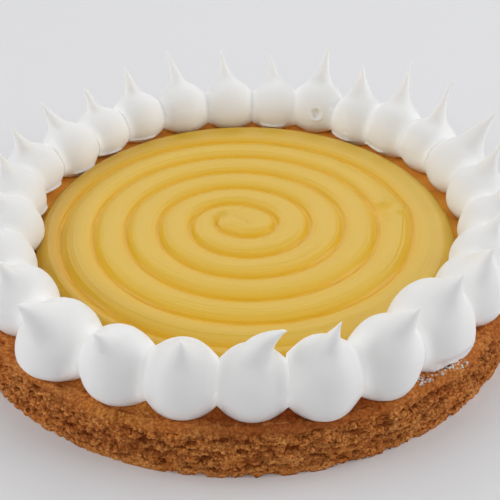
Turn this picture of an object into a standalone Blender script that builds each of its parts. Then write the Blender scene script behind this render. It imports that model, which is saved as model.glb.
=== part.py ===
# A whole lemon meringue tart: a thick porous biscuit base, a disc of lemon cream piped as one spiral rope,
# and a ring of piped meringue kisses round the cream.
# Metres, +Z up. The origin is the centre of the biscuit's flat underside.

from collections import namedtuple
from math import atan, cos, pi, radians, sin, sqrt

import bmesh
import bpy
import numpy as np
from mathutils import Vector, noise

MM = 0.001
GAP = 0.3 * MM

# Biscuit base: a disc cut with a ring, its top edge rounded and its side open with pores
CRUST_RADIUS = 112 * MM
CRUST_HEIGHT = 19 * MM
CRUST_COLUMNS = 128
CRUST_WOBBLE = 0.7 * MM
PORE_COUNT = 150
PORE_LENGTH = (5 * MM, 13 * MM)
PORE_HEIGHT = (1.2 * MM, 2.2 * MM)
PORE_DEPTH = (1.2 * MM, 2.8 * MM)
PORE_TOP = 15.5 * MM
PORE_SEED = 11

# Lemon cream: one rope wound outwards, counter-clockwise seen from above, and smoothed off at the rim
CREAM_CENTRE = Vector((2.4 * MM, 0.8 * MM))
CREAM_RADIUS = 84 * MM
CREAM_TOP = 24.6 * MM
ROPE_WIDTH = 13.3 * MM
GROOVE_DEPTH = 2.2 * MM
GROOVE_START = 0.42
GROOVE_END = 5.75
CREAM_COLUMNS = 48
STATIONS_PER_TURN = 4
RIM_WIDTH = 6 * MM
RIM_DROP = 4 * MM

# Meringue kisses: their uneven ring stands a little to the right of the biscuit's centre
RING_CENTRE = Vector((4.4 * MM, 0.8 * MM))
KISS_SEGMENTS = 14
WIDEST_SHARE = 0.33
SHOULDER_SHARE = 0.4
BLEND_LENGTH = 2
BALL_STATIONS = (0, 0.12, 0.3, 0.5, 0.7, 0.86, 0.97)
PEAK_STATIONS = (0.22, 0.58)

# One row for each kiss, counter-clockwise from the front left: its bearing in degrees and its distance from the
# ring's centre, then in millimetres the peak's height, how far the peak leans outwards and sideways, the ball's
# radius and height and the peak's width, then how sharply the peak curls and how fast it thins, and the share of
# the ball's width that its foot keeps
Kiss = namedtuple("Kiss", "bearing reach height out side radius ball peak curl taper foot")
KISSES = (
    Kiss(244.2, 98.3, 27.5, 9.3, -2.8, 13, 21.8, 12.6, 2, 1.1, 0.84),
    Kiss(256.8, 97.7, 29, 6.2, 1.8, 12.6, 22.4, 12.3, 2, 0.95, 0.84),
    Kiss(270.1, 96.2, 33, 5, 10.2, 12.6, 20.4, 8.8, 4, 0.85, 0.84),
    Kiss(283.3, 98, 34.7, 4.3, 3.7, 12.9, 23.8, 12.6, 2.4, 1.5, 0.84),
    Kiss(296.2, 96.2, 33, 7.9, 7.5, 12.8, 24.7, 12.5, 2.1, 1.05, 0.84),
    Kiss(310.9, 92.6, 35.2, 9.6, 2, 15.2, 25.9, 14.9, 2.1, 1.05, 0.87),
    Kiss(327.8, 92.5, 34.5, 8.4, -7.6, 13, 22.4, 12.7, 2, 1.15, 0.8),
    Kiss(341, 92, 30, 4, 1, 12.5, 21, 9.6, 2, 1.3, 0.8),
    Kiss(354.2, 94.7, 33, 6, 0, 12.7, 21.5, 10.8, 2, 1.4, 0.78),
    Kiss(8.3, 94.3, 35, 6.3, -2, 12.5, 22, 10.6, 2, 1.4, 0.64),
    Kiss(22, 95, 36, 13.9, -4.6, 12.8, 22, 13.1, 1.8, 1.3, 0.6),
    Kiss(34, 96, 39, 9.4, -0.2, 13, 22, 13.3, 1.8, 2, 0.58),
    Kiss(45.9, 94.8, 39, 12.9, 2.8, 13, 22.5, 13.3, 1.8, 1.9, 0.58),
    Kiss(57.5, 93.8, 33, 8.5, 3.2, 12.4, 21, 12.3, 1.8, 1.25, 0.58),
    Kiss(70.8, 96.8, 37, 10.7, -2, 12.8, 22, 11.3, 1.8, 1.5, 0.58),
    Kiss(82.8, 94.8, 30, 11.3, 3.1, 12.4, 20, 10, 1.8, 1.3, 0.58),
    Kiss(95.8, 94.4, 33, 12.4, 3.6, 12.5, 21, 7.7, 1.8, 1.2, 0.58),
    Kiss(109.3, 95.5, 34, 14.4, 3.8, 12.5, 21, 7, 2.2, 1.2, 0.58),
    Kiss(122.8, 96.9, 33, 8.7, 1.5, 12.4, 21, 6.9, 2, 1.1, 0.58),
    Kiss(135, 96.5, 30.5, 5.9, 3.2, 12.4, 20, 7.1, 2, 1.2, 0.58),
    Kiss(147.5, 94.8, 32, 11.3, 4.2, 12.5, 21, 8.4, 2, 1.2, 0.6),
    Kiss(159.8, 99.4, 31, 4.5, 5.2, 12.4, 20.5, 9.1, 2, 1.2, 0.62),
    Kiss(172.5, 97.6, 30, 4, 0.9, 12.5, 21, 9.3, 2, 1.2, 0.66),
    Kiss(186, 94.2, 31, 8.8, 0, 12.5, 21, 9.2, 2, 1.2, 0.7),
    Kiss(200.1, 98.5, 29, 6, 0, 12.6, 21.5, 9.6, 2, 1.2, 0.8),
    Kiss(214.2, 97.3, 29.5, 8.3, 0.8, 12.6, 21.8, 12, 1.8, 1.2, 0.82),
    Kiss(229.2, 99, 29, 13.4, -2.5, 15.2, 19.4, 14.8, 1.9, 1.05, 0.84),
)


def clear_scene():
    for thing in list(bpy.data.objects):
        bpy.data.objects.remove(thing, do_unlink=True)


def make_material(name, colour, roughness):
    material = bpy.data.materials.new(name)
    material.use_nodes = True
    shader = material.node_tree.nodes["Principled BSDF"]
    shader.inputs["Base Color"].default_value = (*colour, 1)
    shader.inputs["Roughness"].default_value = roughness
    shader.inputs["Metallic"].default_value = 0
    material.diffuse_color = (*colour, 1)
    return material


def make_object(name, points, faces, material, sharp_angle=50):
    """Turn points and faces into a named closed body, faces outwards, shaded smooth."""
    mesh = bpy.data.meshes.new(name)
    mesh.from_pydata(points, [], faces)
    work = bmesh.new()
    work.from_mesh(mesh)
    bmesh.ops.recalc_face_normals(work, faces=work.faces)
    bmesh.ops.triangulate(work, faces=work.faces)
    work.to_mesh(mesh)
    work.free()
    mesh.shade_smooth()
    mesh.set_sharp_from_angle(angle=radians(sharp_angle))
    mesh.materials.append(material)
    thing = bpy.data.objects.new(name, mesh)
    bpy.context.scene.collection.objects.link(thing)
    return thing


def smooth_step(value, low, high):
    share = min(max((value - low) / (high - low), 0), 1)
    return share * share * (3 - 2 * share)


def join_rings(rings, count):
    """Faces between rings of count points each, closed by the first and last ring's own faces."""
    faces = [tuple(rings[0]), tuple(reversed(rings[-1]))]
    for lower, upper in zip(rings, rings[1:]):
        for k in range(count):
            after = (k + 1) % count
            faces.append((lower[k], lower[after], upper[after], upper[k]))
    return faces


# The biscuit base

def crust_profile():
    """Side of the biscuit from foot to top: how far in from the full radius, and how high."""
    foot = [(0.8, 0), (0.1, 1.6)]
    wall = [(0.0, 3.6), (0.0, 5.8), (0.1, 8.0), (0.2, 10.2), (0.4, 12.4), (0.8, 14.6)]
    edge = [(1.6, 16.6), (3.0, 18.2), (5.5, 19.0)]
    return [(inset * MM, height * MM) for inset, height in foot + wall + edge]


def make_pores():
    """Flat cavities left by the baking, spread over the side: bearing, height, half sizes and depth."""
    draw = np.random.default_rng(PORE_SEED)
    pores = []
    for bearing in np.linspace(0, 2 * pi, PORE_COUNT, endpoint=False):
        pores.append((
            bearing + draw.uniform(-0.04, 0.04),
            draw.uniform(0, PORE_TOP),
            draw.uniform(*PORE_LENGTH),
            draw.uniform(*PORE_HEIGHT),
            draw.uniform(*PORE_DEPTH),
        ))
    return pores


def pore_depth(pores, bearing, height):
    """How deep the side lies under its full radius at a bearing and height."""
    deepest = 0
    for at, level, length, tall, depth in pores:
        along = ((bearing - at + pi) % (2 * pi) - pi) * CRUST_RADIUS / length
        across = (height - level) / tall
        inside = 1 - along * along - across * across
        if inside > 0:
            deepest = max(deepest, depth * sqrt(inside))
    return deepest


def build_crust(material):
    pores = make_pores()
    points = []
    rings = []
    for inset, height in crust_profile():
        ring = []
        for k in range(CRUST_COLUMNS):
            bearing = 2 * pi * k / CRUST_COLUMNS
            spot = Vector((4 * cos(bearing), 4 * sin(bearing), height / (9 * MM)))
            radius = CRUST_RADIUS - inset + CRUST_WOBBLE * noise.noise(spot)
            if height < CRUST_HEIGHT - 1.5 * MM:
                radius -= pore_depth(pores, bearing, height)
            ring.append(len(points))
            points.append((radius * cos(bearing), radius * sin(bearing), height))
        rings.append(ring)
    faces = join_rings(rings, CRUST_COLUMNS)
    return make_object("crust", points, faces, material)


# The lemon cream

def groove_radius(turns):
    """How far the groove beside the rope lies from the cream's centre after so many turns."""
    angle = 2 * pi * turns
    drift = (0.35 * turns - 2.2) * cos(angle) - 1.6 * sin(angle) + 1.1 * cos(2 * angle)
    return ROPE_WIDTH * turns - 0.5 * MM + drift * MM * smooth_step(turns, 0, 1)


def cream_level(line, turns, radius):
    """Height of the cream: crowned along the rope, low in its grooves at each whole line, and round at the rim."""
    offset = abs(2 * (line % 1) - 1)
    fade = smooth_step(turns, GROOVE_START, GROOVE_START + 0.3)
    fade *= 1 - smooth_step(turns, GROOVE_END - 0.1, GROOVE_END + 0.1)
    groove = GROOVE_DEPTH * offset ** 4 * fade
    rim = max(0, radius - CREAM_RADIUS + RIM_WIDTH) / RIM_WIDTH
    return CREAM_TOP - max(groove, RIM_DROP * rim * rim)


def cream_column(k, points):
    """One radial row of points: where the rope's lines cross this bearing, then the rim down to the foot."""
    share = k / CREAM_COLUMNS
    angle = 2 * pi * share
    inner_limit = 2 * MM
    outer_limit = CREAM_RADIUS - 1.8 * MM
    column = [(-1.0, 0)]
    step = 0
    while True:
        line = step / STATIONS_PER_TURN
        radius = groove_radius(line + share)
        step += 1
        if radius > outer_limit:
            break
        if radius < inner_limit:
            continue
        level = cream_level(line, line + share, radius)
        column.append((line, add_cream_point(points, angle, radius, level)))
    last = column[-1][0]
    floor = CRUST_HEIGHT + GAP
    rim_level = CREAM_TOP - RIM_DROP
    for extra, radius, level in (
        (0.3, CREAM_RADIUS, rim_level),
        (0.6, CREAM_RADIUS - 0.2 * MM, floor),
    ):
        column.append((last + extra, add_cream_point(points, angle, radius, level)))
    return column


def add_cream_point(points, angle, radius, level):
    points.append((CREAM_CENTRE.x + radius * cos(angle), CREAM_CENTRE.y + radius * sin(angle), level))
    return len(points) - 1


def zip_columns(near, far, faces):
    """Triangles between two radial rows whose points need not pair up, matched by the rope's turns."""
    i = 0
    j = 0
    while i < len(near) - 1 or j < len(far) - 1:
        near_left = i < len(near) - 1
        far_left = j < len(far) - 1
        if near_left and (not far_left or near[i + 1][0] <= far[j + 1][0]):
            corners = (near[i][1], near[i + 1][1], far[j][1])
            i += 1
        else:
            corners = (near[i][1], far[j + 1][1], far[j][1])
            j += 1
        if len(set(corners)) == 3:
            faces.append(corners)


def build_cream(material):
    points = [(CREAM_CENTRE.x, CREAM_CENTRE.y, CREAM_TOP)]
    columns = [cream_column(k, points) for k in range(CREAM_COLUMNS)]
    faces = []
    for near, far in zip(columns, columns[1:]):
        zip_columns(near, far, faces)
    # After a full turn each line of the rope has moved out by one turn
    wrapped = [(line if point == 0 else line - 1, point) for line, point in columns[0]]
    zip_columns(columns[-1], wrapped, faces)
    faces.append(tuple(column[-1][1] for column in columns))
    return make_object("lemon_cream", points, faces, material)


# The meringue kisses

def kiss_place(kiss):
    """Middle of a kiss's foot, with the outward and the sideways direction there."""
    bearing = radians(kiss.bearing)
    outwards = Vector((cos(bearing), sin(bearing)))
    sideways = Vector((-sin(bearing), cos(bearing)))
    return RING_CENTRE + outwards * kiss.reach * MM, outwards, sideways


def ball_or_peak(kiss, height):
    """The wider of a kiss's squat ball and of its peak at a height along its spine, in mm."""
    widest = WIDEST_SHARE * kiss.ball
    if height < widest:
        half_height = widest / sqrt(1 - kiss.foot ** 2)
        peak = 0
    else:
        half_height = kiss.ball - widest
        shoulder = SHOULDER_SHARE * kiss.ball
        rise = min(max((height - shoulder) / (kiss.height - shoulder), 0), 1)
        peak = min(kiss.peak, 0.98 * kiss.radius) * (1 - rise) ** kiss.taper
    ball = kiss.radius * sqrt(max(0, 1 - ((height - widest) / half_height) ** 2))
    return max(ball, peak)


def kiss_radius(kiss, height):
    """Radius of a kiss at a height along its spine, in mm, with the ball flowing into the peak."""
    span = min(BLEND_LENGTH, height, kiss.height - height)
    middle = ball_or_peak(kiss, height)
    return middle / 2 + ball_or_peak(kiss, height - span) / 4 + ball_or_peak(kiss, height + span) / 4


def keep_to_own_side(point, walls):
    """Press a point back onto the flat wall where a kiss meets its neighbour."""
    for corner, normal in walls:
        past = (point - corner).dot(normal) + GAP / 2
        if past > 0:
            point = point - normal * past
    return point


def keep_off_cream(point, level):
    """Push a point out to the cream's rim while it is lower than the cream."""
    if level > CREAM_TOP + GAP:
        return point
    arm = point - CREAM_CENTRE
    reach = CREAM_RADIUS + GAP
    if arm.length < reach:
        return CREAM_CENTRE + arm.normalized() * reach
    return point


def kiss_walls(number):
    """The flat walls that a kiss shares with the kiss on each side."""
    kiss = KISSES[number]
    middle = kiss_place(kiss)[0]
    walls = []
    for step in (-1, 1):
        other = KISSES[(number + step) % len(KISSES)]
        arm = kiss_place(other)[0] - middle
        share = kiss.radius / (kiss.radius + other.radius)
        walls.append((middle + arm * share, arm.normalized()))
    return walls


def build_kiss(number, material):
    kiss = KISSES[number]
    middle, outwards, sideways = kiss_place(kiss)
    lean = outwards * kiss.out + sideways * kiss.side
    lean_way = lean.normalized()
    walls = kiss_walls(number)
    floor = CRUST_HEIGHT + GAP
    heights = [share * kiss.ball for share in BALL_STATIONS]
    heights += [kiss.ball + share * (kiss.height - kiss.ball) for share in PEAK_STATIONS]
    points = []
    rings = []
    for order, height in enumerate(heights):
        share = height / kiss.height
        spine = middle + lean * MM * share ** kiss.curl
        tilt = atan(kiss.curl * lean.length / kiss.height * share ** (kiss.curl - 1))
        radius = kiss_radius(kiss, height) * MM
        ring = []
        for k in range(KISS_SEGMENTS):
            angle = 2 * pi * k / KISS_SEGMENTS
            arm = outwards * cos(angle) + sideways * sin(angle)
            along = arm.dot(lean_way)
            arm = arm - lean_way * along * (1 - cos(tilt))
            level = floor + max(order * GAP, height * MM - radius * along * sin(tilt))
            point = keep_to_own_side(spine + arm * radius, walls)
            point = keep_off_cream(point, level)
            ring.append(len(points))
            points.append((point.x, point.y, level))
        rings.append(ring)
    faces = join_rings(rings, KISS_SEGMENTS)[:1] + join_rings(rings, KISS_SEGMENTS)[2:]
    tip = keep_to_own_side(middle + lean * MM, walls)
    points.append((tip.x, tip.y, floor + kiss.height * MM))
    last = rings[-1]
    for k in range(KISS_SEGMENTS):
        faces.append((last[k], last[(k + 1) % KISS_SEGMENTS], len(points) - 1))
    return make_object(f"meringue_kiss_{number + 1:02d}", points, faces, material)


clear_scene()
biscuit = make_material("biscuit", (0.434, 0.188, 0.054), 0.85)
cream = make_material("lemon_cream", (0.716, 0.479, 0.098), 0.4)
meringue = make_material("meringue", (0.807, 0.807, 0.799), 0.55)
build_crust(biscuit)
build_cream(cream)
for kiss_number in range(len(KISSES)):
    build_kiss(kiss_number, meringue)
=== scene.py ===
from collections import namedtuple
from math import cos, pi, radians, sin, sqrt

import bmesh
import bpy
import numpy as np
from mathutils import Matrix, Vector, noise


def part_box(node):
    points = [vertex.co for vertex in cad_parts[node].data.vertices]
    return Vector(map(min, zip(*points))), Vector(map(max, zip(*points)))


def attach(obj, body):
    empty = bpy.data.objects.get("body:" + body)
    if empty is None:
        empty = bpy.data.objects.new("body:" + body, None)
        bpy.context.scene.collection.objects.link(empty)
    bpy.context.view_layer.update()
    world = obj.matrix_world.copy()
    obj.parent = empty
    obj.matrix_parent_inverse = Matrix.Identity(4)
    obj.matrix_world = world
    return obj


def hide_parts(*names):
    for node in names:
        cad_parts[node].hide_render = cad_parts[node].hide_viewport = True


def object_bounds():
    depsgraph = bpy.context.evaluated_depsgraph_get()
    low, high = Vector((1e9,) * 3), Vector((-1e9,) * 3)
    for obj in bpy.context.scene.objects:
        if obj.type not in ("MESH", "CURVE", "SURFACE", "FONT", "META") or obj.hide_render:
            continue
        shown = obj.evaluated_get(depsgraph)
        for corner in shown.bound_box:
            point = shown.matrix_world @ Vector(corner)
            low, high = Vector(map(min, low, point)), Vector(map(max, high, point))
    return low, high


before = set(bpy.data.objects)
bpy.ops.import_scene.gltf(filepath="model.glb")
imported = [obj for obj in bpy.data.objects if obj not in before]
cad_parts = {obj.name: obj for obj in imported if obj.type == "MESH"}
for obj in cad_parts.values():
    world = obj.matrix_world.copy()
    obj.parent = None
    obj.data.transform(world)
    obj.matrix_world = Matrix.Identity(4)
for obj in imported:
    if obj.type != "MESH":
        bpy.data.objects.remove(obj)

MM = 0.001
cad_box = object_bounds()


# The view
# The tart lies on a plain pale board under large soft lamps, and is seen from the front, a third of the way up.
# The camera looks at the middle of the cream, from so near that the nearest and the furthest kisses differ in size.

VIEW_TILT = radians(33.9)
VIEW_DISTANCE = 400 * MM
SENSOR_WIDTH = 36
FOCAL_LENGTH = 71.28
FRAME_SHIFT = (0.008, -0.055)
BOARD_SIZE = 6
# Each lamp's place and size in metres, and its power in watts
LAMPS = {
    "lamp_over": ((0, 0.55, 0.95), 1.1, 3.5),
    "lamp_left": ((-1.0, -0.05, 0.55), 0.9, 6.1),
    "lamp_right": ((1.0, 0.05, 0.6), 0.9, 7.1),
    "lamp_front": ((0, -1.0, 0.8), 1.0, 4.0),
    "lamp_behind": ((0, 1.3, 0.5), 1.2, 4.5),
}
ROOM_LIGHT = 0.07


def linear(colour):
    """An sRGB hex colour as linear red, green, blue and alpha."""
    shares = [int(colour[k:k + 2], 16) / 255 for k in (1, 3, 5)]
    return tuple(s / 12.92 if s <= 0.04045 else ((s + 0.055) / 1.055) ** 2.4 for s in shares) + (1,)


def add_node(tree, kind, inputs=None, **settings):
    """Add a node to a tree with its settings, and set or link its inputs by name or number."""
    node = tree.nodes.new(kind)
    for name, value in settings.items():
        setattr(node, name, value)
    for key, value in (inputs or {}).items():
        if isinstance(value, bpy.types.NodeSocket):
            tree.links.new(value, node.inputs[key])
        else:
            node.inputs[key].default_value = value
    return node


def start_material(name):
    """A material's node tree with a Principled shader on its output."""
    material = bpy.data.materials.new(name)
    material.use_nodes = True
    return material, material.node_tree, material.node_tree.nodes["Principled BSDF"]


def aim(thing, place, target):
    """Stand a lamp or camera at a place, looking at the target with +Z up in its picture."""
    back = (Vector(place) - target).normalized()
    right = Vector((0, 0, 1)).cross(back).normalized()
    turn = Matrix((right, back.cross(right), back)).transposed()
    thing.matrix_world = Matrix.Translation(place) @ turn.to_4x4()


cream_low, cream_high = (Vector(corner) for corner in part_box("lemon_cream"))
view_target = Vector(((cream_low.x + cream_high.x) / 2, (cream_low.y + cream_high.y) / 2, 24 * MM))
camera_data = bpy.data.cameras.new("camera")
camera_data.sensor_width = SENSOR_WIDTH
camera_data.lens = FOCAL_LENGTH
camera_data.shift_x, camera_data.shift_y = FRAME_SHIFT
camera_data.clip_start = 0.01
camera = bpy.data.objects.new("camera", camera_data)
bpy.context.scene.collection.objects.link(camera)
aim(camera, view_target + Vector((0, -cos(VIEW_TILT), sin(VIEW_TILT))) * VIEW_DISTANCE, view_target)
bpy.context.scene.camera = camera
bpy.context.scene.view_settings.view_transform = "Standard"

for lamp_name, (lamp_place, lamp_size, lamp_power) in LAMPS.items():
    lamp_data = bpy.data.lights.new(lamp_name, "AREA")
    lamp_data.size = lamp_size
    lamp_data.energy = lamp_power
    lamp = bpy.data.objects.new(lamp_name, lamp_data)
    bpy.context.scene.collection.objects.link(lamp)
    aim(lamp, lamp_place, view_target)

room = bpy.data.worlds.new("room")
room.use_nodes = True
room.node_tree.nodes["Background"].inputs["Color"].default_value = linear("#F4F5F8")
room.node_tree.nodes["Background"].inputs["Strength"].default_value = ROOM_LIGHT
bpy.context.scene.world = room

# Matt painted board
board_material, _, board_shader = start_material("matt_painted_board")
board_shader.inputs["Base Color"].default_value = linear("#EAEAEC")
board_shader.inputs["Roughness"].default_value = 0.7
board_shader.inputs["Specular IOR Level"].default_value = 0.2
board_mesh = bpy.data.meshes.new("board")
half = BOARD_SIZE / 2
board_mesh.from_pydata([(-half, -half, 0), (half, -half, 0), (half, half, 0), (-half, half, 0)], [], [(0, 1, 2, 3)])
board_mesh.materials.append(board_material)
board = bpy.data.objects.new("board", board_mesh)
bpy.context.scene.collection.objects.link(board)


# The biscuit base
# A thick disc of sweet almond biscuit, baked in a ring: its top is smooth, its edge is rounded, and its side is
# torn open into flat pores between crumbs. The dough spread a little under the ring, which left a ragged foot.

# The base in mm, heights from its underside: its rounded top edge starts at the edge's foot, and the side stands in
# by one inset at each of the heights. No point comes nearer than the margin to the full radius.
CRUST_RADIUS = 112
CRUST_TOP = 19
CRUST_MARGIN = 0.27
EDGE_FOOT = 15.5
EDGE_WIDTH = 5.2
SIDE_HEIGHTS = (0, 1.6, 3.6, 5.8, 8.0, 10.2, 12.4, 14.6, 16.6, 18.2, 19.0)
SIDE_INSETS = (0.8, 0.1, 0, 0, 0.1, 0.2, 0.4, 0.8, 1.6, 3.0, 5.5)
TOP_RADII = (105.5, 104.7, 103.9, 103, 102, 101, 99, 95, 91, 87, 83, 79, 70, 45, 15)
CRUST_WOBBLE = 0.7
WALL_INSET = 0.5
FOOT_LIP_HEIGHT = 2.6
CRUST_COLUMNS = 1240
WALL_ROWS = 46
EDGE_ROWS = 12

# The smooth skin under the top edge: the height of its foot, how much higher that is at the front, and how uneven
SKIN_FOOT = 14.2
SKIN_TILT = 2.6
SKIN_TILT_BEARING = radians(275)
SKIN_UNEVEN = 1.2

# Painted shade on the margin under the front kisses, and painted light on it at the front left: bearing, width and
# strength
PAINTED_FRONT_SHADE = (277, 17, 0.95)
PAINTED_LEFT_LIGHT = (250, 6, 0.7)

# The large pores of the solid, then the finer ones between them: count, seed, half lengths, half heights, depths,
# how high they reach, and how far each strays from its even place round the base
Pores = namedtuple("Pores", "count seed length height depth top stray")
LARGE_PORES = Pores(150, 11, (5, 13), (1.2, 2.2), (1.2, 2.8), 15.5, 0.04)
SMALL_PORES = Pores(1700, 5, (0.8, 3.2), (0.35, 0.85), (0.7, 1.9), 19.3, pi)
PINHOLES = Pores(3200, 6, (0.4, 1.0), (0.3, 0.6), (0.4, 1.0), 20, pi)


def new_piece(name, points, faces, material):
    """A named object from points and faces, faces outwards and shaded smooth."""
    mesh = bpy.data.meshes.new(name)
    mesh.from_pydata(points, [], faces)
    work = bmesh.new()
    work.from_mesh(mesh)
    bmesh.ops.recalc_face_normals(work, faces=work.faces)
    work.to_mesh(mesh)
    work.free()
    mesh.shade_smooth()
    mesh.materials.append(material)
    piece = bpy.data.objects.new(name, mesh)
    bpy.context.scene.collection.objects.link(piece)
    return piece


def store_attribute(mesh, name, values):
    """Keep one number for each point of a mesh under a name."""
    mesh.attributes.new(name, "FLOAT", "POINT").data.foreach_set("value", np.asarray(values, dtype=np.float32))


def ring_faces(row_count, columns):
    """Four-sided faces between rings of points that follow each other in the point list."""
    rows, along = np.meshgrid(np.arange(row_count - 1), np.arange(columns), indexing="ij")
    here = rows * columns + along
    after = rows * columns + (along + 1) % columns
    return np.stack((here, after, after + columns, here + columns), axis=-1).reshape(-1, 4).tolist()


def close_ring(faces, first, columns, middle):
    """Join a ring of points to one point in its middle with three-sided faces."""
    faces.extend((first + k, first + (k + 1) % columns, middle) for k in range(columns))


def smooth_step(value, low, high):
    """A share that rises smoothly from 0 at one value to 1 at another."""
    share = np.clip((value - low) / (high - low), 0, 1)
    return share * share * (3 - 2 * share)


def crust_rows():
    """Rows of the crust from foot to middle: inset from the full radius, height, and share of the side's relief."""
    rows = []
    for level in np.linspace(0, EDGE_FOOT, WALL_ROWS):
        rows.append((float(np.interp(level, SIDE_HEIGHTS, SIDE_INSETS)), float(level), 1))
    start_inset = rows[-1][0]
    for k in range(1, EDGE_ROWS + 1):
        turn = pi / 2 * k / EDGE_ROWS
        rows.append((start_inset + EDGE_WIDTH * (1 - cos(turn)), EDGE_FOOT + (CRUST_TOP - EDGE_FOOT) * sin(turn),
                     1 - 0.5 * (k / EDGE_ROWS) ** 3))
    for radius in TOP_RADII:
        rows.append((CRUST_RADIUS - radius, CRUST_TOP, 0.35 if radius > 102 else 0.12))
    return rows


def open_pores(depth, pores, along, across):
    """Sink a group of pores into the depth map of the side; along and across are its points in mm."""
    draw = np.random.default_rng(pores.seed)
    girth = 2 * pi * CRUST_RADIUS
    for bearing in np.linspace(0, 2 * pi, pores.count, endpoint=False):
        centre = (bearing + draw.uniform(-pores.stray, pores.stray)) % (2 * pi) * CRUST_RADIUS
        level = draw.uniform(0, pores.top)
        length = draw.uniform(*pores.length)
        tall = draw.uniform(*pores.height)
        deep = draw.uniform(*pores.depth)
        columns = np.arange(int((centre - length - 2) / girth * CRUST_COLUMNS),
                            int((centre + length + 2) / girth * CRUST_COLUMNS) + 1) % CRUST_COLUMNS
        gap = (along[:, columns] - centre + girth / 2) % girth - girth / 2
        inside = 1 - (gap / length) ** 2 - ((across[:, columns] - level) / tall) ** 2
        depth[:, columns] = np.maximum(depth[:, columns], deep * np.sqrt(np.maximum(inside, 0)))


def noise_field(spots, scale, octaves=1):
    """Smooth noise at each spot, with its features one scale apart."""
    if octaves == 1:
        return np.array([noise.noise(Vector(spot)) for spot in spots / scale])
    return np.array([noise.fractal(Vector(spot), 0.7, 2.1, octaves) for spot in spots / scale])


def stored_share(tree, name):
    """The number that each point of the mesh keeps under a name, as a shader socket."""
    return add_node(tree, "ShaderNodeAttribute", attribute_name=name).outputs["Fac"]


def two_tones(tree, share, low, high):
    """A colour that goes from one tone to another as the share rises; each tone is its position and colour."""
    ramp = add_node(tree, "ShaderNodeValToRGB", {"Fac": share})
    for element, (position, colour) in zip(ramp.color_ramp.elements, (low, high)):
        element.position = position
        element.color = linear(colour)
    return ramp.outputs["Color"]


def mix_colours(tree, share, first, second, **settings):
    """Mix two colours, or a socket and a colour, by a share."""
    mix = add_node(tree, "ShaderNodeMix", {0: share, 6: first, 7: second}, data_type="RGBA", **settings)
    return mix.outputs[2]


def bump_at(bearings, bearing, width, strength):
    """A share that is highest at one bearing in degrees and fades over a width on both sides."""
    return strength * np.exp(-((np.degrees(bearings) - bearing) / width) ** 2)


# The plain form: rows of points round the base
crust_profile = crust_rows()
bearings = np.linspace(0, 2 * pi, CRUST_COLUMNS, endpoint=False)
inset, level, relief = (np.array(column)[:, None] for column in zip(*crust_profile))
shape = (len(crust_profile), CRUST_COLUMNS)
radius = CRUST_RADIUS - inset
spots = np.stack((radius * np.cos(bearings), radius * np.sin(bearings), level + 0 * bearings), axis=-1).reshape(-1, 3)
foot_line = np.stack((CRUST_RADIUS * np.cos(bearings), CRUST_RADIUS * np.sin(bearings), 0 * bearings), axis=-1)

# The pores, bent and bridged by noise, and the clefts between layers of crumb
warp_along = noise_field(spots, 2.2).reshape(shape)
warp_across = noise_field(spots + 40, 1.8).reshape(shape)
bridges = noise_field(spots + 170, 2.6).reshape(shape)
along = bearings * CRUST_RADIUS + 1.3 * warp_along
across = level + 0.75 * warp_across + 0 * bearings
pore = np.zeros(shape)
open_pores(pore, LARGE_PORES, along, across)
pore = pore * np.clip(0.55 + 1.6 * bridges, 0.1, 1)
open_pores(pore, SMALL_PORES, along, across)
open_pores(pore, PINHOLES, along, across)
clefts = noise_field(spots * (1, 1, 3.4) + 210, 7, 3).reshape(shape)
pore = np.maximum(pore, 2.4 * smooth_step(clefts, 0.2, 0.42))

# The crumb between the pores, the skin above them, the uneven girth, and the lobes of the spread foot
grain = noise_field(spots * (1, 1, 1.5) + 90, 1.3, 3).reshape(shape)
clods = noise_field(spots * (1, 1, 1.4) + 130, 5.5).reshape(shape)
skin_foot = SKIN_FOOT + SKIN_TILT * np.cos(bearings - SKIN_TILT_BEARING)
skin_foot = skin_foot + SKIN_UNEVEN * noise_field(foot_line + (0, 0, 30), 14)
skin = smooth_step(level + 0.8 * clods, skin_foot - 1.5, skin_foot + 1.5) * (level < CRUST_TOP - 0.1)
relief = relief * (1 - 0.72 * skin)
wobble = CRUST_WOBBLE * np.array([noise.noise(Vector((4 * cos(b), 4 * sin(b), 1))) for b in bearings])
foot_lip = np.clip(1 - level / FOOT_LIP_HEIGHT, 0, 1) ** 0.6
lobes = noise_field(foot_line, 6.5) + 0.9 * noise_field(foot_line + 60, 2.4)
pore = pore * (1 - 0.8 * (foot_lip > 0.35)) * relief
sunk = pore + (WALL_INSET * (1 - foot_lip) - 0.75 * grain - 0.4 * clods) * relief
sunk = sunk - foot_lip * (0.2 + 1.8 * lobes)

# The points sink along the plain form's own normals
slope = np.gradient(level[:, 0]) / np.hypot(np.gradient(level[:, 0]), np.gradient(inset[:, 0]))
outwards = slope[:, None]
upwards = np.sqrt(1 - slope ** 2)[:, None]
reach = radius + wobble * np.clip((radius - 80) / 20, 0, 1) - sunk * outwards
reach = np.minimum(reach, CRUST_RADIUS - CRUST_MARGIN)
rise = np.clip(level - sunk * upwards * (level > 1), 0, CRUST_TOP - 0.05)
crust_points = np.stack((reach * np.cos(bearings), reach * np.sin(bearings), rise + 0 * bearings), axis=-1)
crust_points = np.concatenate((crust_points.reshape(-1, 3), [(0, 0, CRUST_TOP), (0, 0, 0)])) * MM
crust_faces = ring_faces(len(crust_profile), CRUST_COLUMNS)
last_point = len(crust_points) - 1
close_ring(crust_faces, (len(crust_profile) - 1) * CRUST_COLUMNS, CRUST_COLUMNS, last_point - 1)
close_ring(crust_faces, 0, CRUST_COLUMNS, last_point)
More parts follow.
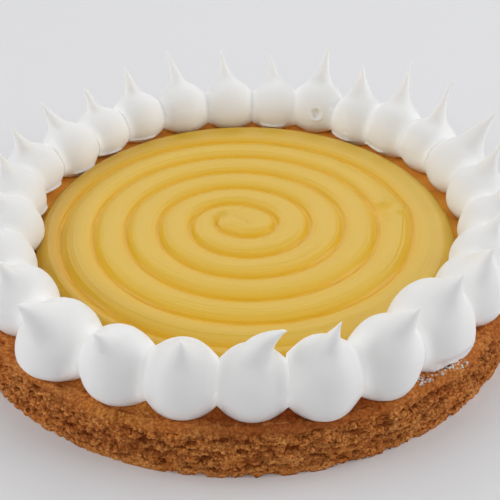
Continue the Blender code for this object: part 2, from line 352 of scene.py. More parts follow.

# Sweet almond biscuit, baked to a light tan: dry and matt, paler on its crumbs, and a deep toffee brown in its pores
# that is partly its own tone and partly painted shade
biscuit, tree, shader = start_material("baked_almond_biscuit")
place = add_node(tree, "ShaderNodeTexCoord").outputs["Object"]
patches = add_node(tree, "ShaderNodeTexNoise", {"Vector": place, "Scale": 90, "Detail": 4, "Roughness": 0.6})
baked_top = two_tones(tree, patches.outputs["Fac"], (0.3, "#C8702A"), (0.7, "#E2984C"))
torn_side = two_tones(tree, patches.outputs["Fac"], (0.3, "#E8903E"), (0.7, "#F9B468"))
# Painted shade: the margin under the front kisses is painted a darker brown, for the shadow that falls there
front_shade_painted = mix_colours(tree, stored_share(tree, "front_shade_painted"), baked_top, linear("#A85016"))
# Painted light: the margin at the front left is painted paler, where more light falls
left_lit = mix_colours(tree, stored_share(tree, "left_light_painted"), front_shade_painted, linear("#F8B055"))
# Partly painted light: the top inside the ring of kisses is painted a lighter, yellower tone with less crumb
# mottling,
inner_strip_light = stored_share(tree, "inner")
# partly for a film of cream on it and partly for light that the kisses let through into their shade
top_colour = mix_colours(tree, inner_strip_light, left_lit, linear("#FFB44A"))
side_here = stored_share(tree, "side")
ground = mix_colours(tree, side_here, top_colour, torn_side)
crumbs_noise = add_node(tree, "ShaderNodeTexNoise", {"Vector": place, "Scale": 1100, "Detail": 2})
crumb_tint = two_tones(tree, crumbs_noise.outputs["Fac"], (0.35, "#C6AE90"), (0.7, "#FFFFFF"))
tint_share = add_node(tree, "ShaderNodeMapRange", {0: inner_strip_light, 3: 1, 4: 0.1})
mottled = mix_colours(tree, tint_share.outputs[0], ground, crumb_tint, blend_type="MULTIPLY")
# Partly painted shade: the pores are painted a darker brown than the crumb, for the shade inside them
pore_shaded = mix_colours(tree, stored_share(tree, "pore"), mottled, linear("#964A16"))
flattened = add_node(tree, "ShaderNodeVectorMath", {0: place, 1: (1, 1, 2.3)}, operation="MULTIPLY")
fine_pores = add_node(tree, "ShaderNodeTexNoise", {"Vector": flattened.outputs[0], "Scale": 760, "Detail": 2.5,
                                                   "Roughness": 0.6})
pore_cut = add_node(tree, "ShaderNodeMapRange", {0: fine_pores.outputs["Fac"], 1: 0.42, 2: 0.35})
pore_here = add_node(tree, "ShaderNodeMath", {0: pore_cut.outputs[0], 1: side_here}, operation="MULTIPLY")
# Partly painted shade: fine pores that are only painted, a darker brown for the shade in them, with a bump
fine_pore_shaded = mix_colours(tree, pore_here.outputs[0], pore_shaded, linear("#A8561F"))
tree.links.new(fine_pore_shaded, shader.inputs["Base Color"])
shader.inputs["Roughness"].default_value = 0.82
shader.inputs["Specular IOR Level"].default_value = 0.25
fine_grain = add_node(tree, "ShaderNodeTexNoise", {"Vector": place, "Scale": 1600, "Detail": 3})
grain_bump = add_node(tree, "ShaderNodeBump", {"Height": fine_grain.outputs["Fac"], "Strength": 0.5,
                                               "Distance": 0.4 * MM})
pore_bump = add_node(tree, "ShaderNodeBump", {"Height": pore_here.outputs[0], "Strength": 0.9,
                                              "Distance": 0.5 * MM, "Normal": grain_bump.outputs["Normal"]},
                     invert=True)
tree.links.new(pore_bump.outputs["Normal"], shader.inputs["Normal"])

crust = new_piece("biscuit_base", crust_points.tolist(), crust_faces, biscuit)
crust_shares = {
    "pore": (np.clip(pore / 2.0, 0, 1), 0),
    "side": ((1 - smooth_step(inset, 3.5, 8)) * (1 - 0.75 * skin) * (level > 0.6), 0),
    # Partly a film of cream, partly painted light in the kisses' shade
    "inner": (smooth_step(-radius, -99.5, -95), 1),
    # Painted shade under the front kisses, and painted light at the front left
    "front_shade_painted": (bump_at(bearings, *PAINTED_FRONT_SHADE), 0),
    "left_light_painted": (bump_at(bearings, *PAINTED_LEFT_LIGHT), 0),
}
for share_name, (share, at_middles) in crust_shares.items():
    values = np.broadcast_to(share, shape).ravel()
    store_attribute(crust.data, share_name, np.append(values, (at_middles, at_middles)))
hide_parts("crust")
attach(crust, "root")


# The crumbs on its side
# Where the ring was lifted off, broken crumbs of the same biscuit cling to the side and stand in its pores.
# They are scattered over the side by one node tree.

CRUMB_MARGIN = 0.26 * MM
CRUMB_SIZES = {"Density": 210000.0, "Smallest": 0.35 * MM, "Largest": 1.15 * MM, "Seed": 4}


def start_tree(name, sizes):
    """A geometry node tree with one named input for each size, and its input and output nodes."""
    tree = bpy.data.node_groups.new(name, "GeometryNodeTree")
    tree.interface.new_socket("Geometry", in_out="INPUT", socket_type="NodeSocketGeometry")
    for size_name, value in sizes.items():
        kind = "NodeSocketInt" if isinstance(value, int) else "NodeSocketFloat"
        tree.interface.new_socket(size_name, in_out="INPUT", socket_type=kind).default_value = value
    tree.interface.new_socket("Geometry", in_out="OUTPUT", socket_type="NodeSocketGeometry")
    return tree, tree.nodes.new("NodeGroupInput"), tree.nodes.new("NodeGroupOutput")


def grow(piece, tree, sizes, material):
    """Run a node tree on a piece with its sizes, and keep the result as the piece's plain mesh."""
    modifier = piece.modifiers.new("grow", "NODES")
    modifier.node_group = tree
    for item in tree.interface.items_tree:
        if item.in_out == "INPUT" and item.name in sizes:
            modifier[item.identifier] = sizes[item.name]
    grown = bpy.data.meshes.new_from_object(piece.evaluated_get(bpy.context.evaluated_depsgraph_get()))
    piece.modifiers.remove(modifier)
    piece.data = grown
    grown.materials.clear()
    grown.materials.append(material)


def read_spots(mesh):
    """The places of a mesh's points, one row each."""
    spots = np.zeros(len(mesh.vertices) * 3)
    mesh.vertices.foreach_get("co", spots)
    return spots.reshape(-1, 3)


def write_spots(mesh, spots):
    """Move a mesh's points to new places."""
    mesh.vertices.foreach_set("co", spots.ravel())
    mesh.update()


# The node tree: points on the side, a ragged lump on each, turned and sized at random
tree, given, result = start_tree("scattered_crumbs", CRUMB_SIZES)
on_side = add_node(tree, "GeometryNodeInputNamedAttribute", {"Name": "side"}, data_type="FLOAT")
spread = add_node(tree, "GeometryNodeDistributePointsOnFaces", {
    "Mesh": given.outputs["Geometry"], "Seed": given.outputs["Seed"]}, distribute_method="RANDOM")
density = add_node(tree, "ShaderNodeMath", {0: on_side.outputs["Attribute"], 1: given.outputs["Density"]},
                   operation="MULTIPLY")
tree.links.new(density.outputs[0], spread.inputs["Density"])
lump = add_node(tree, "GeometryNodeMeshIcoSphere", {"Radius": 1.0, "Subdivisions": 2})
lump_noise = add_node(tree, "ShaderNodeTexNoise", {"Scale": 1.3, "Detail": 1})
lump_push = add_node(tree, "ShaderNodeVectorMath", {0: lump_noise.outputs["Color"], 1: (0.5, 0.5, 0.5)},
                     operation="SUBTRACT")
lump_reach = add_node(tree, "ShaderNodeVectorMath", {0: lump_push.outputs[0]}, operation="SCALE")
lump_reach.inputs["Scale"].default_value = 1.6
ragged = add_node(tree, "GeometryNodeSetPosition", {"Geometry": lump.outputs["Mesh"],
                                                    "Offset": lump_reach.outputs[0]})
turn = add_node(tree, "FunctionNodeRandomValue", {"Seed": given.outputs["Seed"]}, data_type="FLOAT_VECTOR")
turn.inputs[1].default_value = (2 * pi, 2 * pi, 2 * pi)
girth = add_node(tree, "FunctionNodeRandomValue", {"Seed": given.outputs["Seed"]}, data_type="FLOAT")
tree.links.new(given.outputs["Smallest"], girth.inputs[2])
tree.links.new(given.outputs["Largest"], girth.inputs[3])
scattered = add_node(tree, "GeometryNodeInstanceOnPoints", {
    "Points": spread.outputs["Points"], "Instance": ragged.outputs["Geometry"],
    "Rotation": turn.outputs[0], "Scale": girth.outputs[1]})
real = add_node(tree, "GeometryNodeRealizeInstances", {"Geometry": scattered.outputs["Instances"]})
painted = add_node(tree, "GeometryNodeSetMaterial", {"Geometry": real.outputs["Geometry"], "Material": biscuit})
tree.links.new(painted.outputs["Geometry"], result.inputs["Geometry"])

crumbs = bpy.data.objects.new("biscuit_crumbs", crust.data.copy())
bpy.context.scene.collection.objects.link(crumbs)
grow(crumbs, tree, CRUMB_SIZES, biscuit)
spots = read_spots(crumbs.data)
reach = np.hypot(spots[:, 0], spots[:, 1])
spots[:, :2] *= np.minimum(1, (CRUST_RADIUS * MM - CRUMB_MARGIN) / reach)[:, None]
spots[:, 2] = np.maximum(spots[:, 2], 0)
write_spots(crumbs.data, spots)
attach(crumbs, "root")


# The lemon cream
# Smooth set lemon cream, piped from the middle outwards as one thick rope wound into a spiral, and wiped round at
# its rim. The grooves between the turns run as deep as the rope is round, and the nozzle left fine streaks along it.

CREAM_CENTRE = Vector(((cream_low.x + cream_high.x) / 2, (cream_low.y + cream_high.y) / 2))
CREAM_RADIUS = (cream_high.x - cream_low.x) / 2
CREAM_TOP = 24.6 * MM
CREAM_FLOOR = cream_low.z
CREAM_COLUMNS = 560
CREAM_ROWS = 165

# The rope's width in mm, the turns at which its groove starts and ends, and how wide and deep the rim slopes in mm
ROPE_WIDTH = 13.3
GROOVE_START = 0.42
GROOVE_END = 5.75
RIM_WIDTH = 6
RIM_DROP = 4

# The cream's side, from its rim down: share of its height, and radius in mm
CREAM_SIDE = ((0.25, 84.0), (0.6, 84.0), (1, 83.8))

# Where the piping began: how far the groove curls out there, and a dimple's x, y, depth and width, all in mm
START_CURL = 5.2
DIMPLE = (-9.5, 5.2, 0.9, 2.0)

# Where the piping stopped and started again: how far the groove bulges out in mm, and two small lumps beside a
# hollow, each with x, y, share of the lumps' width, and height in mm
JOIN_BEARING = radians(8)
JOIN_RADIUS = 57
JOIN_BULGE = 3.2
JOIN_LUMPS = ((58, 14, 1.2, 0.9), (63.5, 8, 1.0, 0.8), (57, 3.5, 0.8, -0.6))
LUMP_WIDTH = 2.6


def rope_lines(radius, bearing):
    """Turns of the rope at a point of the cream, as if its groove were a plain spiral, counted from the middle."""
    # The turns aren't quite even: the groove drifts off a plain spiral by a few millimetres
    rough = radius / ROPE_WIDTH
    drift = (0.35 * rough - 2.2) * np.cos(bearing) - 1.6 * np.sin(bearing) + 1.1 * np.cos(2 * bearing)
    drift = drift * smooth_step(rough, 0, 1)
    # The rope's start curls outwards like a comma
    start = smooth_step(bearing, radians(120), radians(150)) * (1 - smooth_step(bearing, radians(150), radians(240)))
    drift = drift + START_CURL * start * (1 - smooth_step(radius, 11, 15))
    # The piping stopped and started again at one place, where the rope bulges
    near = (bearing - JOIN_BEARING + pi) % (2 * pi) - pi
    bulge = np.exp(-(near / radians(7)) ** 2 - ((radius - JOIN_RADIUS - 4) / 5.5) ** 2)
    return (radius + 0.5 - drift - JOIN_BULGE * bulge) / ROPE_WIDTH


# The plain form: rows of points round the cream, its top first, then its side
cream_bearings = np.linspace(0, 2 * pi, CREAM_COLUMNS, endpoint=False)[None, :]
cream_radii = np.linspace(0.5, CREAM_RADIUS / MM, CREAM_ROWS)[:, None]
turns = rope_lines(cream_radii, cream_bearings)
line = turns - cream_bearings / (2 * pi)
rim = np.clip(cream_radii - CREAM_RADIUS / MM + RIM_WIDTH, 0, None) / RIM_WIDTH
groove_turn = np.floor(line + 0.5) + cream_bearings / (2 * pi)
grooved = smooth_step(groove_turn, GROOVE_START - 0.01, GROOVE_START + 0.05)
grooved = grooved * (1 - smooth_step(groove_turn, GROOVE_END - 0.1, GROOVE_END + 0.15))
top_level = CREAM_TOP / MM - RIM_DROP * rim ** 2
cream_x = cream_radii * np.cos(cream_bearings)
cream_y = cream_radii * np.sin(cream_bearings)
dimple_x, dimple_y, dimple_depth, dimple_width = DIMPLE
dimple_reach = np.hypot(cream_x - dimple_x, cream_y - dimple_y) / dimple_width
top_level = top_level - dimple_depth * np.exp(-dimple_reach ** 2)
for join_x, join_y, join_width, join_height in JOIN_LUMPS:
    lump_reach = np.hypot((cream_x - join_x) / join_width, cream_y - join_y) / LUMP_WIDTH
    top_level = top_level + join_height * np.exp(-lump_reach ** 2)
cream_rows = [np.stack((cream_x, cream_y, top_level + 0 * cream_bearings), axis=-1)]
for share, radius in CREAM_SIDE:
    drop = top_level[-1, 0] + (CREAM_FLOOR / MM - top_level[-1, 0]) * share
    cream_rows.append(np.stack((radius * np.cos(cream_bearings), radius * np.sin(cream_bearings),
                                drop + 0 * cream_bearings), axis=-1))
cream_points = np.concatenate(cream_rows).reshape(-1, 3)
cream_points = np.concatenate((cream_points, [(0, 0, CREAM_TOP / MM), (0, 0, CREAM_FLOOR / MM)])) * MM
cream_points[:, 0] += CREAM_CENTRE.x
cream_points[:, 1] += CREAM_CENTRE.y
ring_count = CREAM_ROWS + len(CREAM_SIDE)
cream_faces = ring_faces(ring_count, CREAM_COLUMNS)
close_ring(cream_faces, 0, CREAM_COLUMNS, len(cream_points) - 2)
close_ring(cream_faces, (ring_count - 1) * CREAM_COLUMNS, CREAM_COLUMNS, len(cream_points) - 1)


def rope_coordinates(tree, place, turns):
    """Nodes for where a point lies on the rope: its share across and its turns along, and its share across alone."""
    from_middle = add_node(tree, "ShaderNodeVectorMath", {0: place, 1: (CREAM_CENTRE.x, CREAM_CENTRE.y, 0)},
                           operation="SUBTRACT")
    parts = add_node(tree, "ShaderNodeSeparateXYZ", {0: from_middle.outputs[0]})
    bearing = add_node(tree, "ShaderNodeMath", {0: parts.outputs["Y"], 1: parts.outputs["X"]}, operation="ARCTAN2")
    signed = add_node(tree, "ShaderNodeMath", {0: bearing.outputs[0], 1: 2 * pi}, operation="DIVIDE")
    share = add_node(tree, "ShaderNodeMath", {0: signed.outputs[0]}, operation="FRACT")
    line = add_node(tree, "ShaderNodeMath", {0: turns, 1: share.outputs[0]}, operation="SUBTRACT")
    across = add_node(tree, "ShaderNodeMath", {0: line.outputs[0]}, operation="FRACT")
    whole = add_node(tree, "ShaderNodeMath", {0: line.outputs[0]}, operation="FLOOR")
    along = add_node(tree, "ShaderNodeMath", {0: whole.outputs[0], 1: share.outputs[0]}, operation="ADD")
    both = add_node(tree, "ShaderNodeCombineXYZ", {"X": across.outputs[0], "Y": along.outputs[0]})
    return both.outputs[0], across.outputs[0]


# Set lemon cream, egg yellow: smooth and a little glossy, with light passing into it, and its grooves painted a
# brighter, deeper yellow for the light that glows in them
lemon_cream, tree, shader = start_material("set_lemon_cream")
# Painted shade: the rim is painted darker where the kisses shade it
rope_rim_shaded = mix_colours(tree, stored_share(tree, "rim"), linear("#E3BA38"), linear("#CA9C0C"))
# Painted light: the grooves are painted a brighter, deeper yellow, for the light that the cream passes on into them
cream_groove_glow = mix_colours(tree, stored_share(tree, "groove"), rope_rim_shaded, linear("#F0B40C"))
tree.links.new(cream_groove_glow, shader.inputs["Base Color"])
rope_place = rope_coordinates(tree, add_node(tree, "ShaderNodeTexCoord").outputs["Object"],
                              stored_share(tree, "turns"))[0]
streak_place = add_node(tree, "ShaderNodeVectorMath", {0: rope_place, 1: (10, 3, 1)}, operation="MULTIPLY")
streaks = add_node(tree, "ShaderNodeTexNoise", {"Vector": streak_place.outputs[0], "Scale": 1, "Detail": 3,
                                                "Roughness": 0.6})
streak_bump = add_node(tree, "ShaderNodeBump", {"Height": streaks.outputs["Fac"], "Strength": 0.5,
                                                "Distance": 0.5 * MM})
tree.links.new(streak_bump.outputs["Normal"], shader.inputs["Normal"])
shader.inputs["Roughness"].default_value = 0.25
shader.inputs["Specular IOR Level"].default_value = 0.4
shader.inputs["Subsurface Weight"].default_value = 0.2
shader.inputs["Subsurface Radius"].default_value = (1.0, 0.75, 0.3)
shader.inputs["Subsurface Scale"].default_value = 2.5 * MM

cream = new_piece("piped_lemon_cream", cream_points.tolist(), cream_faces, lemon_cream)
extra = np.zeros(len(CREAM_SIDE) * CREAM_COLUMNS + 2)
from_middle = (read_spots(cream.data)[:, :2] - CREAM_CENTRE) / MM
# The rim is painted a deeper, darker yellow as painted shade, most of all at the back left, where the kisses shade it
shaded = 0.55 + 0.45 * np.cos(np.arctan2(from_middle[:, 1], from_middle[:, 0]) - radians(160))
store_attribute(cream.data, "rim", smooth_step(np.hypot(*from_middle.T), 62, 78) * shaded)
store_attribute(cream.data, "turns", np.concatenate((np.maximum(turns, 0.01).ravel(), extra)))
store_attribute(cream.data, "grooved", np.concatenate((grooved.ravel(), extra)))

# The node tree: lower the top along the rope's grooves, and raise the fine streaks on it
relief_sizes = {"Groove Depth": 2.3 * MM, "Streak Height": 0.25 * MM}
tree, given, result = start_tree("rope_relief", relief_sizes)
turns_at = add_node(tree, "GeometryNodeInputNamedAttribute", {"Name": "turns"}, data_type="FLOAT")
grooved_at = add_node(tree, "GeometryNodeInputNamedAttribute", {"Name": "grooved"}, data_type="FLOAT")
rope_place, across_share = rope_coordinates(tree, add_node(tree, "GeometryNodeInputPosition").outputs[0],
                                            turns_at.outputs["Attribute"])
from_crown = add_node(tree, "ShaderNodeMath", {0: across_share, 1: 2.0, 2: -1.0}, operation="MULTIPLY_ADD")
across_rope = add_node(tree, "ShaderNodeMath", {0: from_crown.outputs[0]}, operation="ABSOLUTE")
round_part = add_node(tree, "ShaderNodeMath", {0: across_rope.outputs[0], 1: 2.0}, operation="POWER")
flat_part = add_node(tree, "ShaderNodeMath", {0: round_part.outputs[0], 1: -0.97, 2: 1.0},
                     operation="MULTIPLY_ADD")
crown = add_node(tree, "ShaderNodeMath", {0: flat_part.outputs[0]}, operation="SQRT")
profile = add_node(tree, "ShaderNodeMath", {0: 1.0, 1: crown.outputs[0]}, operation="SUBTRACT")
groove = add_node(tree, "ShaderNodeMath", {0: profile.outputs[0], 1: grooved_at.outputs["Attribute"]},
                  operation="MULTIPLY")
streak_scale = add_node(tree, "ShaderNodeVectorMath", {0: rope_place, 1: (5, 3, 1)}, operation="MULTIPLY")
streaks = add_node(tree, "ShaderNodeTexNoise", {"Vector": streak_scale.outputs[0], "Scale": 1.0, "Detail": 2.0})
streak_rise = add_node(tree, "ShaderNodeMath", {0: streaks.outputs["Fac"], 1: given.outputs["Streak Height"]},
                       operation="MULTIPLY")
groove_drop = add_node(tree, "ShaderNodeMath", {0: groove.outputs[0], 1: given.outputs["Groove Depth"]},
                       operation="MULTIPLY")
rise = add_node(tree, "ShaderNodeMath", {0: streak_rise.outputs[0], 1: groove_drop.outputs[0]}, operation="SUBTRACT")
lift = add_node(tree, "ShaderNodeCombineXYZ", {"Z": rise.outputs[0]})
on_top = add_node(tree, "FunctionNodeCompare", {0: turns_at.outputs["Attribute"], 1: 0.001}, operation="GREATER_THAN")
shaped = add_node(tree, "GeometryNodeSetPosition", {
    "Geometry": given.outputs["Geometry"], "Selection": on_top.outputs[0], "Offset": lift.outputs[0]})
kept = add_node(tree, "GeometryNodeStoreNamedAttribute", {
    "Geometry": shaped.outputs["Geometry"], "Name": "groove", "Value": groove.outputs[0]}, data_type="FLOAT")
real = add_node(tree, "GeometryNodeRealizeInstances", {"Geometry": kept.outputs["Geometry"]})
painted = add_node(tree, "GeometryNodeSetMaterial", {"Geometry": real.outputs["Geometry"], "Material": lemon_cream})
tree.links.new(painted.outputs["Geometry"], result.inputs["Geometry"])
grow(cream, tree, relief_sizes, lemon_cream)
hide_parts("lemon_cream")
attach(cream, "root")


# The meringue kisses
# Twenty-seven kisses of whipped Italian meringue, each squeezed out of a round nozzle into a ball and then drawn up
# and away into a peak. They touch, so each is flattened where it meets the next, and some lap over the cream's rim.

RING_CENTRE = Vector((4.4 * MM, 0.8 * MM))

# A kiss's outline: where its ball is widest and where its peak starts, as shares of the ball's height, then in mm
# how far the two are blended, the step between its rings, and the tip's radius
WIDEST_SHARE = 0.33
SHOULDER_SHARE = 0.4
BLEND_LENGTH = 2
OUTLINE_STEP = 0.2
STATION_STEP = 0.36
TIP_RADIUS = 0.22

# The walls between kisses: the pieces overlap there a little, so that no slit shows, and the foam stands up along
# each wall
CLEARANCE = -0.12 * MM
WALL_SOFTNESS = 0.02 * MM
SEAM_HEIGHT = 1.6 * MM
SEAM_WIDTH = 1.5 * MM

# How far from a wall its normals are turned and its glow reaches, how strong that is, and how much of it the kisses
# at the back keep
SEAM_BLEND = 1.6 * MM
SEAM_GLOW_WIDTH = 1.8 * MM
SEAM_GLOW = 0.17
BACK_BEARINGS = (20, 165)
BACK_GLOW = 0.65

# Kisses whose foot has a thin lip: bearing of the kiss, and the lip's turn from the inner side, in radians
LIP_LEVEL = 3.9 * MM
LIP_THICKNESS = 0.5 * MM
LIP_LENGTH = 1.1 * MM
LIPS = {45.9: 0.3, 57.5: 0.4, 82.8: 0, 122.8: 0.3, 135: 0.4, 147.5: 0.3, 159.8: 0.4, 172.5: 0.3}

# The dressed kisses stay this far inside the box of the solids
BOX_MARGIN = 0.02 * MM

# Bubbles that burst in the foam, each under the bearing of its kiss: how far it lies to the right of the kiss's
# middle and above its foot, its radius, its depth, and how far its rim stands out, in mm
Bubble = namedtuple("Bubble", "across height radius depth rim")
BUBBLES = {
    70.8: (Bubble(-1.2, 12, 2.3, 1.9, 0.9), Bubble(1.3, 27.5, 0.8, 0.7, 0.1), Bubble(-1.4, 24.6, 0.7, 0.5, 0.1)),
    57.5: (Bubble(-6.6, 8.2, 0.8, 0.7, 0.1), Bubble(-3.4, 4.8, 0.7, 0.6, 0.1)),
    95.8: (Bubble(1.4, 21.5, 0.8, 0.6, 0.15), Bubble(-0.6, 23, 0.6, 0.5, 0.1)),
    135: (Bubble(-0.8, 9.5, 1.1, 1, 0.2),),
    229.2: (Bubble(2.2, 6.4, 1.5, 0.35, 0.1),),
}

# The kiss whose foot was dragged along the biscuit's edge: its bearing, and the face's direction and reach in mm
SMEARED = 310.9
SMEAR_BEARING = radians(302.8)
SMEAR_REACH = 11.8

# One row for each kiss, counter-clockwise from the front left: its bearing in degrees and its distance from the
# ring's centre, then in millimetres the peak's height, how far the peak leans outwards and sideways, the ball's
# radius and height and the peak's width, then how sharply the peak curls and how fast it thins, and the share of
# the ball's width that its foot keeps
Kiss = namedtuple("Kiss", "bearing reach height out side radius ball peak curl taper foot")
KISSES = (
    Kiss(244.2, 98.3, 27.5, 9.3, -2.8, 13, 21.8, 12.6, 2, 1.1, 0.84),
    Kiss(256.8, 97.7, 29, 6.2, 1.8, 12.6, 22.4, 12.3, 2, 0.95, 0.84),
    Kiss(270.1, 96.2, 33, 5, 10.2, 12.6, 20.4, 8.8, 4, 0.85, 0.84),
    Kiss(283.3, 98, 34.7, 4.3, 3.7, 12.9, 23.8, 12.6, 2.4, 1.5, 0.84),
    Kiss(296.2, 96.2, 33, 7.9, 7.5, 12.8, 24.7, 12.5, 2.1, 1.05, 0.84),
    Kiss(310.9, 92.6, 35.2, 9.6, 2, 15.2, 25.9, 14.9, 2.1, 1.05, 0.87),
    Kiss(327.8, 92.5, 34.5, 8.4, -7.6, 13, 22.4, 12.7, 2, 1.15, 0.8),
    Kiss(341, 92, 30, 4, 1, 12.5, 21, 9.6, 2, 1.3, 0.8),
    Kiss(354.2, 94.7, 33, 6, 0, 12.7, 21.5, 10.8, 2, 1.4, 0.78),
    Kiss(8.3, 94.3, 35, 6.3, -2, 12.5, 22, 10.6, 2, 1.4, 0.64),
    Kiss(22, 95, 36, 13.9, -4.6, 12.8, 22, 13.1, 1.8, 1.3, 0.6),
    Kiss(34, 96, 39, 9.4, -0.2, 13, 22, 13.3, 1.8, 2, 0.58),
    Kiss(45.9, 94.8, 39, 12.9, 2.8, 13, 22.5, 13.3, 1.8, 1.9, 0.58),
    Kiss(57.5, 93.8, 33, 8.5, 3.2, 12.4, 21, 12.3, 1.8, 1.25, 0.58),
    Kiss(70.8, 96.8, 37, 10.7, -2, 12.8, 22, 11.3, 1.8, 1.5, 0.58),
    Kiss(82.8, 94.8, 30, 11.3, 3.1, 12.4, 20, 10, 1.8, 1.3, 0.58),
    Kiss(95.8, 94.4, 33, 12.4, 3.6, 12.5, 21, 7.7, 1.8, 1.2, 0.58),
    Kiss(109.3, 95.5, 34, 14.4, 3.8, 12.5, 21, 7, 2.2, 1.2, 0.58),
    Kiss(122.8, 96.9, 33, 8.7, 1.5, 12.4, 21, 6.9, 2, 1.1, 0.58),
    Kiss(135, 96.5, 30.5, 5.9, 3.2, 12.4, 20, 7.1, 2, 1.2, 0.58),
    Kiss(147.5, 94.8, 32, 11.3, 4.2, 12.5, 21, 8.4, 2, 1.2, 0.6),
    Kiss(159.8, 99.4, 31, 4.5, 5.2, 12.4, 20.5, 9.1, 2, 1.2, 0.62),
    Kiss(172.5, 97.6, 30, 4, 0.9, 12.5, 21, 9.3, 2, 1.2, 0.66),
    Kiss(186, 94.2, 31, 8.8, 0, 12.5, 21, 9.2, 2, 1.2, 0.7),
    Kiss(200.1, 98.5, 29, 6, 0, 12.6, 21.5, 9.6, 2, 1.2, 0.8),
    Kiss(214.2, 97.3, 29.5, 8.3, 0.8, 12.6, 21.8, 12, 1.8, 1.2, 0.82),
    Kiss(229.2, 99, 29, 13.4, -2.5, 15.2, 19.4, 14.8, 1.9, 1.05, 0.84),
)


def kiss_place(kiss):
    """Middle of a kiss's foot, with the outward and the sideways direction there."""
    bearing = radians(kiss.bearing)
    outwards = Vector((cos(bearing), sin(bearing)))
    sideways = Vector((-sin(bearing), cos(bearing)))
    return RING_CENTRE + outwards * kiss.reach * MM, outwards, sideways


def walls(number):
    """For both neighbours of a kiss, a point on the upright wall between the two and the direction across it."""
    kiss = KISSES[number]
    middle = kiss_place(kiss)[0]
    for step in (-1, 1):
        other = KISSES[(number + step) % len(KISSES)]
        arm = kiss_place(other)[0] - middle
        yield middle + arm * kiss.radius / (kiss.radius + other.radius), arm.normalized()


def even_steps(line, step):
    """The same line with its points one step apart, the ends kept."""
    travelled = np.append(0, np.cumsum(np.hypot(*np.diff(line, axis=0).T)))
    marks = np.linspace(0, travelled[-1], int(travelled[-1] / step) + 2)
    return np.stack([np.interp(marks, travelled, line[:, k]) for k in (0, 1)], axis=-1)


def kiss_profile(kiss):
    """Radius and height of a kiss from foot to tip, in mm: a squat ball that flows into a drawn-out peak."""
    height = np.linspace(0, kiss.height, 400)
    widest = WIDEST_SHARE * kiss.ball
    half_height = np.where(height < widest, widest / sqrt(1 - kiss.foot ** 2), kiss.ball - widest)
    ball = kiss.radius * np.sqrt(np.maximum(0, 1 - ((height - widest) / half_height) ** 2))
    shoulder = SHOULDER_SHARE * kiss.ball
    rise = np.clip((height - shoulder) / (kiss.height - shoulder), 0, 1)
    peak = min(kiss.peak, 0.98 * kiss.radius) * (1 - rise) ** kiss.taper * (height > widest)
    line = np.stack((np.maximum(ball, peak) + TIP_RADIUS, height), axis=-1)
    line = even_steps(line, OUTLINE_STEP)
    reach = int(3 * BLEND_LENGTH / OUTLINE_STEP)
    weights = np.exp(-0.5 * (np.arange(-reach, reach + 1) * OUTLINE_STEP / BLEND_LENGTH) ** 2)
    weights /= weights.sum()
    padded = np.pad(line, ((reach, reach), (0, 0)), mode="reflect", reflect_type="odd")
    smoothed = np.stack([np.convolve(padded[:, k], weights, "valid") for k in (0, 1)], axis=-1)
    smoothed[:, 0] = np.maximum(smoothed[:, 0], TIP_RADIUS)
    return even_steps(smoothed, STATION_STEP)


def kiss_spine(kiss, floor):
    """The line that the nozzle followed, as loose edges with a radius at each point."""
    middle, outwards, sideways = kiss_place(kiss)
    lean = outwards * kiss.out + sideways * kiss.side
    points = []
    profile = kiss_profile(kiss)
    for height in profile[:, 1]:
        spot = middle + lean * MM * max(0, height / kiss.height) ** kiss.curl
        points.append((spot.x, spot.y, floor + height * MM))
    mesh = bpy.data.meshes.new("spine")
    mesh.from_pydata(points, [(k, k + 1) for k in range(len(points) - 1)], [])
    store_attribute(mesh, "girth", profile[:, 0] * MM)
    return mesh


def press_on_walls(spots, number, floor):
    """Flatten a kiss where it meets the kiss on each side."""
    widest = floor + WIDEST_SHARE * KISSES[number].ball * MM
    for corner, normal in walls(number):
        past = (spots[:, 0] - corner.x) * normal.x + (spots[:, 1] - corner.y) * normal.y + CLEARANCE / 2
        past = WALL_SOFTNESS * np.logaddexp(0, past / WALL_SOFTNESS)
        spots[:, 0] -= past * normal.x
        spots[:, 1] -= past * normal.y
        # Where two kisses touch, the foam has run together into a low seam
        arm = spots - (corner.x, corner.y, widest)
        apart = -(arm[:, 0] * normal.x + arm[:, 1] * normal.y)
        arm[:, 0] += apart * normal.x
        arm[:, 1] += apart * normal.y
        length = np.maximum(np.linalg.norm(arm, axis=1), 0.1 * MM)
        spots += arm * (SEAM_HEIGHT * np.exp(-apart / SEAM_WIDTH) / length)[:, None]


def keep_off_cream(spots):
    """Hold the foot of a kiss just outside the cream, and above the slope of its rim."""
    arm = spots[:, :2] - np.array(CREAM_CENTRE)
    reach = np.hypot(arm[:, 0], arm[:, 1])
    drop = np.clip((CREAM_TOP - spots[:, 2]) / MM / RIM_DROP, 0, 1)
    wanted = CREAM_RADIUS + (0.1 - RIM_WIDTH * (1 - np.sqrt(drop))) * MM
    low = (spots[:, 2] < CREAM_TOP) & (reach < wanted)
    spots[low, :2] = np.array(CREAM_CENTRE) + arm[low] * (wanted / reach)[low, None]


def spread_lip(spots, kiss, floor):
    """Spread a thin lip from the inner foot of a kiss, over the cream's rim."""
    middle, outwards, sideways = kiss_place(kiss)
    arm = spots[:, :2] - np.array(middle)
    inner = np.arctan2(arm @ np.array(sideways), -(arm @ np.array(outwards)))
    band = np.exp(-((spots[:, 2] - floor - LIP_LEVEL) / LIP_THICKNESS) ** 2)
    push = LIP_LENGTH * band * smooth_step(np.cos(inner - LIPS[kiss.bearing]), 0.8, 0.9)
    spots[:, 0] -= push * outwards.x
    spots[:, 1] -= push * outwards.y


